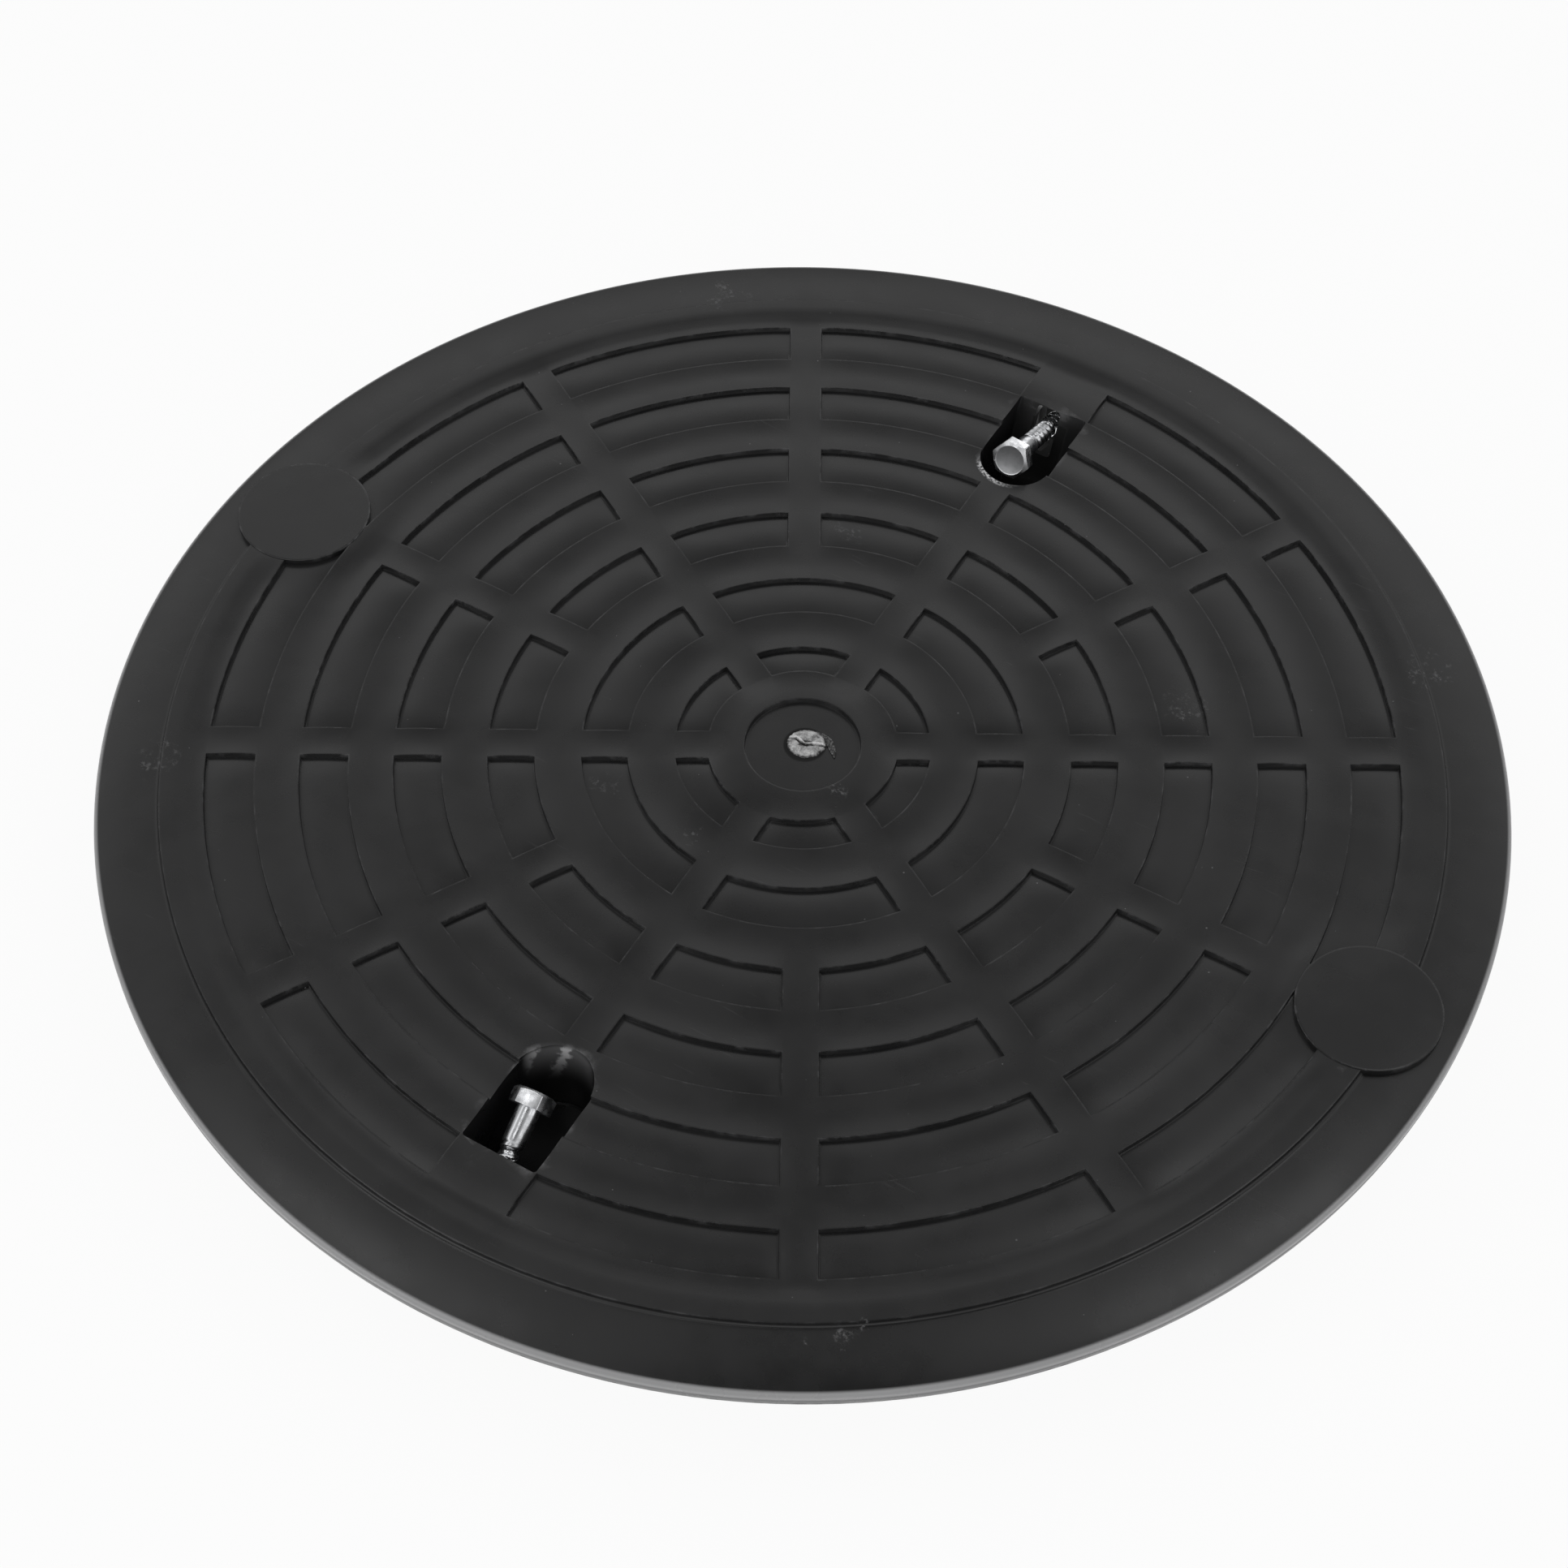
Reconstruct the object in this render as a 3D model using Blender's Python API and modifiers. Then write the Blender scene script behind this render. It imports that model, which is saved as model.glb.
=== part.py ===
# Round plastic manhole cover for a 400 mm shaft, held down by two coarse-threaded lock screws.
# Metres, +Z up. The origin is the centre of the foot on which the cover stands.
# The screw pockets lie on the Y axis and the two round lettering plates, here bare, on the X axis.

import bmesh
import bpy
from math import cos, pi, radians, sin, tan
from mathutils import Matrix, Vector

# Cover: overall form
COVER_RADIUS = 0.2409
COVER_HEIGHT = 0.040
SEGMENTS = 72
INNER_SEGMENTS = 48

# Rim: the annulus outside the tread field and its turned-down lip
RIM_WIDTH = 0.0222
RIM_FLAT = 0.0022
RIM_FALL = 0.0008
RIM_THICKNESS = 0.0048
RIM_DEPTH = 0.0100
LIP_WALL = 0.004
EDGE_ROUNDING = 0.0012
SIDE_DRAFT = 0.0005

# Top plate and tread relief
TOP_THICKNESS = 0.0060
RELIEF_DEPTH = 0.0018
RELIEF_DRAFT = 0.0002
TREAD_OVERHANG = 0.0093
RING_COUNT = 6
INNER_RING_COUNT = 2
PAD_SHARE = 0.53
PAD_WIDTH_STEP = 0.0003
INNERMOST_RADIUS = 0.0438
INNERMOST_PAD_WIDTH = 0.0112
SPOKE_WIDTH = 0.0118
CENTRE_DISC_RADIUS = 0.0200
GATE_RADIUS = 0.0060
GATE_HEIGHT = 0.0008

# Round plates on the rim
DISC_RADIUS = 0.0240
DISC_MARGIN = 0.0066
DISC_RISE = 0.0003
DISC_TRIM = 0.0002

# Collar that drops into the shaft, and the ribs inside it
RIM_OVERHANG = 0.0464
COLLAR_WALL = 0.0045
RIB_WALL = 0.0026
HUB_RADIUS = 0.0210
GUSSET_WALL = 0.0030
GUSSET_PAIRS = 12
COLLAR_LAND = 0.0015

# Screw pockets
POCKET_WIDTH = 0.0275
POCKET_LENGTH = 0.0433
POCKET_DEPTH = 0.0350
POCKET_WALL = 0.0034
RAMP_ANGLE = radians(67)
BRIDGE_MARGIN = 0.0004

# Slot through ramp and collar, on the ramp measured down from the pocket's outer edge
SLOT_TOP = 0.0014
SLOT_LENGTH = 0.0190
SLOT_CORNER = 0.0014
SLOT_CLEARANCE = 0.0008

# Lock screws: hexagon head, smooth shank, coarse thread, gimlet point
SHANK_DIAMETER = 0.0078
THREAD_DIAMETER = 0.0072
POINT_DIAMETER = 0.0016
SCREW_LENGTH = 0.050
SMOOTH_LENGTH = 0.0145
POINT_LENGTH = 0.0080
HEAD_FLATS = 0.0130
HEAD_HEIGHT = 0.0055
HEAD_FACE_RATIO = 0.87
HEAD_CHAMFER_ANGLE = radians(30)
SCREW_SEGMENTS = 24

# Each screw and its slot: name, side of the cover (+1 or -1 on Y), sideways offset of the slot,
# length left outside the ramp with the head, drop on the ramp, sideways lean and turn of the head
LOCK_SCREWS = (
    ("lock_screw_far", 1, 0.0015, 0.0354, 0.0104, radians(2.2), radians(37)),
    ("lock_screw_near", -1, -0.0003, 0.0228, 0.0123, radians(4.6), radians(25)),
)

# Shape helper sizes
CUT_MARGIN = 0.004

PLATEAU = COVER_HEIGHT
RELIEF_FLOOR = PLATEAU - RELIEF_DEPTH
TOP_UNDERSIDE = PLATEAU - TOP_THICKNESS
LIP_FOOT = PLATEAU - RIM_DEPTH
RIM_UNDERSIDE = RELIEF_FLOOR - RIM_THICKNESS
STEP_RADIUS = COVER_RADIUS - RIM_WIDTH
COLLAR_RADIUS = COVER_RADIUS - RIM_OVERHANG
COLLAR_INSIDE = COLLAR_RADIUS - COLLAR_WALL
TREAD_RADIUS = COLLAR_RADIUS + TREAD_OVERHANG
RING_PITCH = (TREAD_RADIUS - INNERMOST_RADIUS) / (RING_COUNT - 1)
DISC_DISTANCE = COVER_RADIUS - DISC_MARGIN - DISC_RADIUS
POCKET_FLOOR = PLATEAU - POCKET_DEPTH


def ring_radii(ring):
    """Inner and outer radius of a ring of tread pads, counted inwards from the rim."""
    outer = TREAD_RADIUS - RING_PITCH * ring
    width = PAD_SHARE * RING_PITCH - PAD_WIDTH_STEP * ring
    if ring == RING_COUNT - 1:
        width = INNERMOST_PAD_WIDTH
    return outer - width, outer


POCKET_OUTER_EDGE = ring_radii(0)[0]
RAMP_DOWN = Vector((0.0, -cos(RAMP_ANGLE), -sin(RAMP_ANGLE)))
RAMP_OUT = Vector((0.0, sin(RAMP_ANGLE), -cos(RAMP_ANGLE)))
RAMP_TOP = Vector((0.0, POCKET_OUTER_EDGE, PLATEAU))
SLOT_WIDTH = SHANK_DIAMETER + 2 * SLOT_CLEARANCE


def clear_scene():
    for old in list(bpy.data.objects):
        bpy.data.objects.remove(old, do_unlink=True)


def new_collection(name):
    collection = bpy.data.collections.new(name)
    bpy.context.scene.collection.children.link(collection)
    return collection


def material(name, colour, roughness, metallic):
    mat = bpy.data.materials.new(name)
    mat.use_nodes = True
    shader = mat.node_tree.nodes["Principled BSDF"]
    shader.inputs["Base Color"].default_value = (*colour, 1.0)
    shader.inputs["Roughness"].default_value = roughness
    shader.inputs["Metallic"].default_value = metallic
    return mat


def add_object(name, mesh, collection):
    obj = bpy.data.objects.new(name, mesh)
    collection.objects.link(obj)
    return obj


def add_mesh(name, bm, collection):
    mesh = bpy.data.meshes.new(name)
    bm.to_mesh(mesh)
    bm.free()
    return add_object(name, mesh, collection)


def apply_modifiers(obj):
    evaluated = obj.evaluated_get(bpy.context.evaluated_depsgraph_get())
    mesh = bpy.data.meshes.new_from_object(evaluated)
    obj.modifiers.clear()
    obj.data = mesh


def as_guide(obj):
    """Marks a cutter or a joined-in shape, which is not a piece of its own."""
    obj.hide_render = True
    obj.display_type = "WIRE"
    return obj


def turned(name, profiles, segments, collection, closed=False):
    """Turns profiles of (radius, height) points about Z; the ends of an open profile get flat caps."""
    bm = bmesh.new()
    for points in profiles:
        verts = [bm.verts.new((radius, 0.0, height)) for radius, height in points]
        for first, second in zip(verts, verts[1:]):
            bm.edges.new((first, second))
        if closed:
            bm.edges.new((verts[-1], verts[0]))
    obj = add_mesh(name, bm, collection)
    screw = obj.modifiers.new("Turn", "SCREW")
    screw.axis = "Z"
    screw.angle = 2 * pi
    screw.steps = segments
    screw.render_steps = segments
    screw.use_merge_vertices = True
    screw.merge_threshold = 0.00001
    apply_modifiers(obj)
    bm = bmesh.new()
    bm.from_mesh(obj.data)
    bmesh.ops.holes_fill(bm, edges=[edge for edge in bm.edges if edge.is_boundary], sides=0)
    bmesh.ops.recalc_face_normals(bm, faces=bm.faces)
    bm.to_mesh(obj.data)
    bm.free()
    return obj


def box(name, low, high, collection):
    low, high = Vector(low), Vector(high)
    bm = bmesh.new()
    size = Matrix.Diagonal((*(high - low), 1.0))
    bmesh.ops.create_cube(bm, size=1.0, matrix=Matrix.Translation((low + high) / 2) @ size)
    return add_mesh(name, bm, collection)


def combine(obj, other, operation):
    boolean = obj.modifiers.new(operation.title(), "BOOLEAN")
    boolean.operation = operation
    boolean.solver = "EXACT"
    boolean.object = as_guide(other)


def ring_section(inner, outer, top, bottom, draft):
    """Closed section of an annular cutter whose walls lean in towards the bottom."""
    return [(inner, top), (outer, top), (outer - draft, bottom), (inner + draft, bottom)]


def spoked_cutter(name, sections, segments, bar_count, bar_width, phase, guides):
    """Annular cutters from which full-width bars across the centre are kept back as spokes."""
    cutter = turned(name, sections, segments, guides, closed=True)
    heights = [height for points in sections for _, height in points]
    low, high = min(heights) - CUT_MARGIN, max(heights) + CUT_MARGIN
    reach = COVER_RADIUS + CUT_MARGIN
    for index in range(bar_count):
        bar = box(f"{name}_bar_{index}", (-reach, -bar_width / 2, low),
                  (reach, bar_width / 2, high), guides)
        bar.rotation_euler.z = phase + pi * index / bar_count
        combine(cutter, bar, "DIFFERENCE")
    return cutter


def round_plate(name, side, radius, low, high, guides):
    bm = bmesh.new()
    place = Matrix.Translation((side * DISC_DISTANCE, 0.0, (low + high) / 2))
    bmesh.ops.create_cone(bm, cap_ends=True, segments=SEGMENTS // 2, radius1=radius,
                          radius2=radius, depth=high - low, matrix=place)
    return add_mesh(name, bm, guides)


def pocket_shape(name, side, grow, low, high, guides):
    """Pocket outline, round towards the centre, cut off outwards by the sloping ramp."""
    radius = POCKET_WIDTH / 2 + grow
    round_centre = POCKET_OUTER_EDGE - POCKET_LENGTH + POCKET_WIDTH / 2
    far_end = POCKET_OUTER_EDGE + grow / sin(RAMP_ANGLE) + CUT_MARGIN
    steps = SEGMENTS // 4
    bm = bmesh.new()
    outline = [(radius, far_end), (-radius, far_end)]
    for step in range(steps + 1):
        angle = pi + pi * step / steps
        outline.append((radius * cos(angle), round_centre + radius * sin(angle)))
    floor = bm.faces.new([bm.verts.new((x, y, low)) for x, y in outline])
    lifted = bmesh.ops.extrude_face_region(bm, geom=[floor])["geom"]
    top_verts = [item for item in lifted if isinstance(item, bmesh.types.BMVert)]
    bmesh.ops.translate(bm, vec=(0.0, 0.0, high - low), verts=top_verts)
    whole = bm.verts[:] + bm.edges[:] + bm.faces[:]
    cut = bmesh.ops.bisect_plane(bm, geom=whole, plane_co=RAMP_TOP + RAMP_OUT * grow,
                                 plane_no=RAMP_OUT, clear_outer=True)["geom_cut"]
    cut_edges = [item for item in cut if isinstance(item, bmesh.types.BMEdge)]
    bmesh.ops.edgeloop_fill(bm, edges=cut_edges)
    if side < 0:
        bmesh.ops.rotate(bm, cent=(0.0, 0.0, 0.0), matrix=Matrix.Rotation(pi, 3, "Z"), verts=bm.verts)
    bmesh.ops.recalc_face_normals(bm, faces=bm.faces)
    return add_mesh(name, bm, guides)


def slot_cutter(name, side, offset, guides):
    """Round-cornered bar along the screw's direction that opens the ramp and the collar."""
    reach_in = POCKET_WALL
    slot_foot = RAMP_TOP + RAMP_DOWN * (SLOT_TOP + SLOT_LENGTH)
    reach_out = (COLLAR_RADIUS + CUT_MARGIN - slot_foot.y) / RAMP_OUT.y
    bm = bmesh.new()
    size = Matrix.Diagonal((SLOT_WIDTH, SLOT_LENGTH, reach_in + reach_out, 1.0))
    bmesh.ops.create_cube(bm, size=1.0, matrix=size)
    long_edges = [edge for edge in bm.edges
                  if abs(edge.verts[0].co.z - edge.verts[1].co.z) > SLOT_CORNER]
    bmesh.ops.bevel(bm, geom=long_edges, offset=SLOT_CORNER, segments=3, profile=0.5,
                    affect="EDGES", material=-1)
    across = Vector((-1.0, 0.0, 0.0))
    turn = Matrix((across, RAMP_DOWN, RAMP_OUT)).transposed().to_4x4()
    middle = RAMP_TOP + RAMP_DOWN * (SLOT_TOP + SLOT_LENGTH / 2)
    middle += RAMP_OUT * (reach_out - reach_in) / 2 + across * offset
    bmesh.ops.transform(bm, matrix=Matrix.Translation(middle) @ turn, verts=bm.verts)
    if side < 0:
        bmesh.ops.rotate(bm, cent=(0.0, 0.0, 0.0), matrix=Matrix.Rotation(pi, 3, "Z"), verts=bm.verts)
    bmesh.ops.recalc_face_normals(bm, faces=bm.faces)
    return add_mesh(name, bm, guides)


def cover_profile():
    """Outline of the turned body, from the edge of the tread field over the rim to the collar's foot."""
    rim_top = RELIEF_FLOOR - RIM_FALL
    edge_centre = (COVER_RADIUS - EDGE_ROUNDING, rim_top - EDGE_ROUNDING)
    flat_end = STEP_RADIUS + RIM_FLAT
    points = [(STEP_RADIUS, PLATEAU), (STEP_RADIUS + RELIEF_DRAFT, RELIEF_FLOOR)]
    for step in range(4):
        share = step / 4
        radius = flat_end + (edge_centre[0] - flat_end) * share
        points.append((radius, RELIEF_FLOOR - RIM_FALL * share ** 2))
    for step in range(4):
        angle = radians(90 - 30 * step)
        points.append((edge_centre[0] + EDGE_ROUNDING * cos(angle),
                       edge_centre[1] + EDGE_ROUNDING * sin(angle)))
    points += [
        (COVER_RADIUS - SIDE_DRAFT, LIP_FOOT),
        (COLLAR_RADIUS, LIP_FOOT),
        (COLLAR_RADIUS - SIDE_DRAFT, 0.0),
    ]
    return points


def rib_radii():
    """Middle radii of the round ribs, one under each raised ring between two rings of pads."""
    radii = []
    for ring in range(1, RING_COUNT):
        radii.append((ring_radii(ring - 1)[0] + ring_radii(ring)[1]) / 2)
    return radii


def cell_sections():
    """Sections of the hollows between the round ribs, from the collar inwards."""
    walls = [radius for radius in rib_radii() if radius + RING_PITCH / 2 < COLLAR_INSIDE]
    outers = [COLLAR_INSIDE] + [radius - RIB_WALL / 2 for radius in walls]
    inners = [radius + RIB_WALL / 2 for radius in walls] + [HUB_RADIUS]
    return [ring_section(inner, outer, TOP_UNDERSIDE, -CUT_MARGIN, 0.0)
            for inner, outer in zip(inners, outers)]


def tread_cutters(guides):
    """Sunk pads between the raised rings and spokes, and the disc in the middle."""
    above = PLATEAU + CUT_MARGIN
    flare = RELIEF_DRAFT * CUT_MARGIN / RELIEF_DEPTH
    sections = []
    for ring in range(RING_COUNT):
        inner, outer = ring_radii(ring)
        sections.append(ring_section(inner - flare, outer + flare, above, RELIEF_FLOOR,
                                     RELIEF_DRAFT + flare))
    outer_count = RING_COUNT - INNER_RING_COUNT
    outer_pads = spoked_cutter("outer_pads", sections[:outer_count], SEGMENTS, 6, SPOKE_WIDTH,
                               0.0, guides)
    inner_pads = spoked_cutter("inner_pads", sections[outer_count:], INNER_SEGMENTS, 3, SPOKE_WIDTH,
                               pi / 2, guides)
    disc = turned("centre_disc", [[(CENTRE_DISC_RADIUS, above), (CENTRE_DISC_RADIUS, RELIEF_FLOOR)]],
                  INNER_SEGMENTS, guides)
    low, high = RELIEF_FLOOR - CUT_MARGIN, above + CUT_MARGIN
    for side, word in ((1, "right"), (-1, "left")):
        keep = round_plate(f"plate_keep_{word}", side, DISC_RADIUS - DISC_TRIM, low, high, guides)
        combine(outer_pads, keep, "DIFFERENCE")
    half = POCKET_WIDTH / 2 + BRIDGE_MARGIN
    for side, word in ((1, "far"), (-1, "near")):
        start, end = sorted((side * rib_radii()[0], side * STEP_RADIUS))
        bridge = box(f"bridge_{word}", (-half, start, low), (half, end, high), guides)
        combine(outer_pads, bridge, "DIFFERENCE")
    return [outer_pads, inner_pads, disc]


def underside_cutters(guides):
    """Hollows between the round and radial ribs, inside the hub and between the rim's gussets."""
    cells = cell_sections()
    outer_count = len(cells) - INNER_RING_COUNT
    outer_cells = spoked_cutter("outer_cells", cells[:outer_count], SEGMENTS, 6, RIB_WALL,
                                0.0, guides)
    inner_cells = spoked_cutter("inner_cells", cells[outer_count:], INNER_SEGMENTS, 3, RIB_WALL,
                                pi / 2, guides)
    hub_inside = HUB_RADIUS - RIB_WALL
    hub = turned("hub_hollow", [[(hub_inside, TOP_UNDERSIDE), (hub_inside, -CUT_MARGIN)]],
                 INNER_SEGMENTS, guides)
    rim_section = ring_section(COLLAR_RADIUS + COLLAR_LAND, COVER_RADIUS - LIP_WALL,
                               RIM_UNDERSIDE, LIP_FOOT - CUT_MARGIN, 0.0)
    rim_cells = spoked_cutter("rim_cells", [rim_section], SEGMENTS, GUSSET_PAIRS, GUSSET_WALL,
                              pi / GUSSET_PAIRS / 2, guides)
    return [outer_cells, inner_cells, hub, rim_cells]


def build_cover(parts, guides, plastic):
    cover = turned("cover", [cover_profile()], SEGMENTS, parts)
    cover.data.materials.append(plastic)
    for side, word in ((1, "right"), (-1, "left")):
        plate = round_plate(f"plate_{word}", side, DISC_RADIUS, RELIEF_FLOOR - RELIEF_DEPTH,
                            PLATEAU + DISC_RISE, guides)
        combine(cover, plate, "UNION")
    for cutter in tread_cutters(guides) + underside_cutters(guides):
        combine(cover, cutter, "DIFFERENCE")
    for screw_name, side, offset, *_ in LOCK_SCREWS:
        word = screw_name.split("_")[-1]
        block = pocket_shape(f"pocket_block_{word}", side, POCKET_WALL, POCKET_FLOOR - POCKET_WALL,
                             PLATEAU - TOP_THICKNESS / 2, guides)
        combine(cover, block, "UNION")
        cavity = pocket_shape(f"pocket_{word}", side, 0.0, POCKET_FLOOR, PLATEAU + CUT_MARGIN, guides)
        combine(cover, cavity, "DIFFERENCE")
        combine(cover, slot_cutter(f"slot_{word}", side, offset, guides), "DIFFERENCE")
    gate_top, gate_low = RELIEF_FLOOR + GATE_HEIGHT, RELIEF_FLOOR - GATE_HEIGHT
    gate = turned("gate_mark", [[(GATE_RADIUS - GATE_HEIGHT, gate_top), (GATE_RADIUS, gate_low)]],
                  SCREW_SEGMENTS, guides)
    combine(cover, gate, "UNION")
    return cover


def screw_profile():
    """Shank from the gimlet point back into the head; the head's bearing face is at height 0."""
    shank, thread, point = SHANK_DIAMETER / 2, THREAD_DIAMETER / 2, POINT_DIAMETER / 2
    return [
        (point, SCREW_LENGTH),
        (thread, SCREW_LENGTH - POINT_LENGTH),
        (thread, SMOOTH_LENGTH + (shank - thread)),
        (shank, SMOOTH_LENGTH),
        (shank, -HEAD_HEIGHT / 2),
    ]


def build_screw(name, side, offset, exposed, drop, lean, turn, parts, guides, steel):
    screw = turned(name, [screw_profile()], SCREW_SEGMENTS, parts)
    screw.data.materials.append(steel)

    corner_radius = HEAD_FLATS / 2 / cos(pi / 6)
    blank_radius = corner_radius + SLOT_CLEARANCE
    face_radius = HEAD_FLATS / 2 * HEAD_FACE_RATIO
    chamfer = (blank_radius - face_radius) * tan(HEAD_CHAMFER_ANGLE)
    blank_profile = [
        (blank_radius, HEAD_HEIGHT),
        (blank_radius, chamfer - HEAD_HEIGHT),
        (face_radius, -HEAD_HEIGHT),
    ]
    blank = turned(f"{name}_blank", [blank_profile], SCREW_SEGMENTS, guides)
    bm = bmesh.new()
    bmesh.ops.create_cone(bm, cap_ends=True, segments=6, radius1=corner_radius, radius2=corner_radius,
                          depth=2 * HEAD_HEIGHT, matrix=Matrix.Translation((0.0, 0.0, -HEAD_HEIGHT)))
    hexagon = add_mesh(f"{name}_hexagon", bm, guides)
    combine(hexagon, blank, "INTERSECT")
    combine(screw, hexagon, "UNION")

    # The screw leans about the middle of the walls that it passes through
    outward = RAMP_OUT * cos(lean) + Vector((-sin(lean), 0.0, 0.0))
    crossing = RAMP_TOP + RAMP_DOWN * drop + Vector((-offset, 0.0, 0.0))
    wall_depth = (COLLAR_RADIUS - crossing.y) / RAMP_OUT.y
    pivot = crossing + RAMP_OUT * wall_depth / 2
    seat = pivot - outward * (wall_depth / 2 + exposed - HEAD_HEIGHT)
    across = outward.cross(Vector((0.0, 0.0, 1.0))).normalized()
    third = outward.cross(across)
    stand = Matrix((across, third, outward)).transposed().to_4x4()
    place = Matrix.Translation(seat) @ stand @ Matrix.Rotation(turn, 4, "Z")
    if side < 0:
        place = Matrix.Rotation(pi, 4, "Z") @ place
    screw.matrix_world = place
    for guide in (blank, hexagon):
        guide.matrix_world = place
    return screw


def shade(obj):
    """Smooth shading on the round faces, with the corners kept sharp."""
    apply_modifiers(obj)
    obj.data.shade_smooth()
    obj.data.set_sharp_from_angle(angle=radians(30))


def main():
    clear_scene()
    parts = new_collection("manhole_cover")
    guides = new_collection("cutters")
    plastic = material("black_plastic", (0.030, 0.030, 0.031), 0.45, 0.0)
    steel = material("zinc_plated_steel", (0.72, 0.73, 0.75), 0.25, 1.0)
    pieces = [build_cover(parts, guides, plastic)]
    for settings in LOCK_SCREWS:
        pieces.append(build_screw(*settings, parts, guides, steel))
    bpy.context.view_layer.update()
    for piece in pieces:
        shade(piece)


main()
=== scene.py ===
import bpy
import bmesh
from math import asin, atan2, cos, exp, hypot, pi, radians, sin, sqrt, tan
from mathutils import Matrix, Vector, noise


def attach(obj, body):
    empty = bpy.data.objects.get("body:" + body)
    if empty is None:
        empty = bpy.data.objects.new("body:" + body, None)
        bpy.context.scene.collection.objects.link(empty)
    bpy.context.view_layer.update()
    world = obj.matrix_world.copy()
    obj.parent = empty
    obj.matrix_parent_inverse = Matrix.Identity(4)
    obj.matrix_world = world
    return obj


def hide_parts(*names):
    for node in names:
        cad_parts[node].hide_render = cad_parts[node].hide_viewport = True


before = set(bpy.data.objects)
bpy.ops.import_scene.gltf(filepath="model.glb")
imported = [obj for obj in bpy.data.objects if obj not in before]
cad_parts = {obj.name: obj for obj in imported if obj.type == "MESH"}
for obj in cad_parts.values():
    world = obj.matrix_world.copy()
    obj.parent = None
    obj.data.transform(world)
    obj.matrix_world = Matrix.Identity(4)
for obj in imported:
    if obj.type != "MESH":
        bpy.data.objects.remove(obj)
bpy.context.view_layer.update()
print("frame loaded:", ", ".join(sorted(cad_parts)))

# the camera stands 30 degrees round from the line through the two screw pockets
photoTurn = radians(30)
steel = {
    "name": "zincPlatedSteel",
    "colour": (0.74, 0.75, 0.77),
    "stained": 0.80,              # share of the colour that is left where the plating is stained
    "roughness": 0.20,
    "corners": (0.88, 0.88, 0.89, 1.0),
    # dark grey painted on the head's face for its dark reflection
    "headFace": (0.12, 0.122, 0.125, 1.0),
}
plastic = {
    "name": "blackPlastic",
    "colour": (0.0100, 0.0100, 0.0103),
    "roughness": 0.27,
    "wear": 0.45,
    "dust": 0.5,
    "rubbed": (0.20, 0.20, 0.205, 1.0),
    # pale colour for the streaks in the near pocket, and for painted light and shade in both pockets
    "pocketStreaksAndLight": (0.70, 0.70, 0.71, 1.0),
    # painted sheen on the lip's side, for its bright reflection of the front lamps and floor
    "sideSheen": (0.38, 0.38, 0.385, 1.0),
    # painted shade in the screw slots and round the foot of the gate stub
    "paintedShade": (0.003, 0.003, 0.003, 1.0),
    "patchHeight": 0.0385,
    "pocketMiddle": 0.15729,      # centre and radius of the pockets' round inner ends
    "pocketHalf": 0.01375,
    "streakLean": 0.27,
    "streakTop": 0.040,
    "streaks": [(-0.0116, 0.0022, 0.42), (-0.0022, 0.0023, 0.50)],    # x at the top, half width, strength
    "gateMark": (0.0001, 0.0013, 0.0),
}
# rubbed places on the plastic: x and y in metres, radius, finely scratched or smeared, strength
rubbedPlaces = [
    ((-0.1854, -0.1164), 0.0090, True, 0.45),
    ((-0.1379, 0.1769), 0.0120, True, 0.40),
    ((0.1700, 0.1393), 0.0110, True, 0.45),
    ((-0.0492, -0.0488), 0.0070, True, 0.40),
    ((-0.0136, -0.0515), 0.0050, True, 0.30),
    ((0.1052, 0.0818), 0.0100, True, 0.40),
    ((-0.0362, 0.0944), 0.0080, True, 0.30),
    ((-0.0910, -0.1452), 0.0040, False, 0.35),
    ((-0.1081, -0.1683), 0.0045, False, 0.35),
    ((0.1377, 0.0056), 0.0035, False, 0.35),
    ((0.1698, 0.0059), 0.0045, False, 0.35),
    ((0.1468, -0.0904), 0.0045, False, 0.50),
    ((-0.0060, -0.1917), 0.0090, False, 0.30),
    ((0.1230, -0.1858), 0.0045, True, 0.60),
    ((0.1252, -0.1789), 0.0035, True, 0.60),
    ((0.1142, -0.1931), 0.0022, True, 0.70),
    ((0.0195, -0.0120), 0.0060, True, 0.45),
]


def smoothStep(low, high, value):
    share = min(max((value - low) / (high - low), 0.0), 1.0)
    return share * share * (3 - 2 * share)


def between(start, end, pitch):
    # evenly spaced values after start, up to end
    steps = max(1, round(abs(end - start) / pitch))
    return [start + (end - start) * (i + 1) / steps for i in range(steps)]


def newObject(name, bm):
    mesh = bpy.data.meshes.new(name)
    bm.to_mesh(mesh)
    bm.free()
    obj = bpy.data.objects.new(name, mesh)
    bpy.context.scene.collection.objects.link(obj)
    return obj


def cutWith(obj, other, operation):
    # joins or cuts one mesh with another, which is then gone
    step = obj.modifiers.new(operation, "BOOLEAN")
    step.operation = operation
    step.solver = "EXACT"
    step.object = other
    bpy.context.view_layer.update()
    done = bpy.data.meshes.new_from_object(obj.evaluated_get(bpy.context.evaluated_depsgraph_get()))
    obj.modifiers.clear()
    obj.data = done
    bpy.data.objects.remove(other)


def turnChain(bm, chain, steps):
    # joins a row of points and turns it once round the Z axis
    edges = [bm.edges.new(pair) for pair in zip(chain, chain[1:])]
    bmesh.ops.spin(bm, geom=chain + edges, cent=(0, 0, 0), axis=(0, 0, 1), angle=2 * pi, steps=steps,
                   use_merge=True, use_duplicate=False)
    bmesh.ops.remove_doubles(bm, verts=bm.verts, dist=0.000001)
    bmesh.ops.recalc_face_normals(bm, faces=bm.faces)


def roundOff(bm, edges, width, segments, clamp=False):
    bmesh.ops.bevel(bm, geom=edges, offset=width, affect="EDGES", segments=segments, profile=0.5,
                    material=-1, clamp_overlap=clamp)


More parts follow.
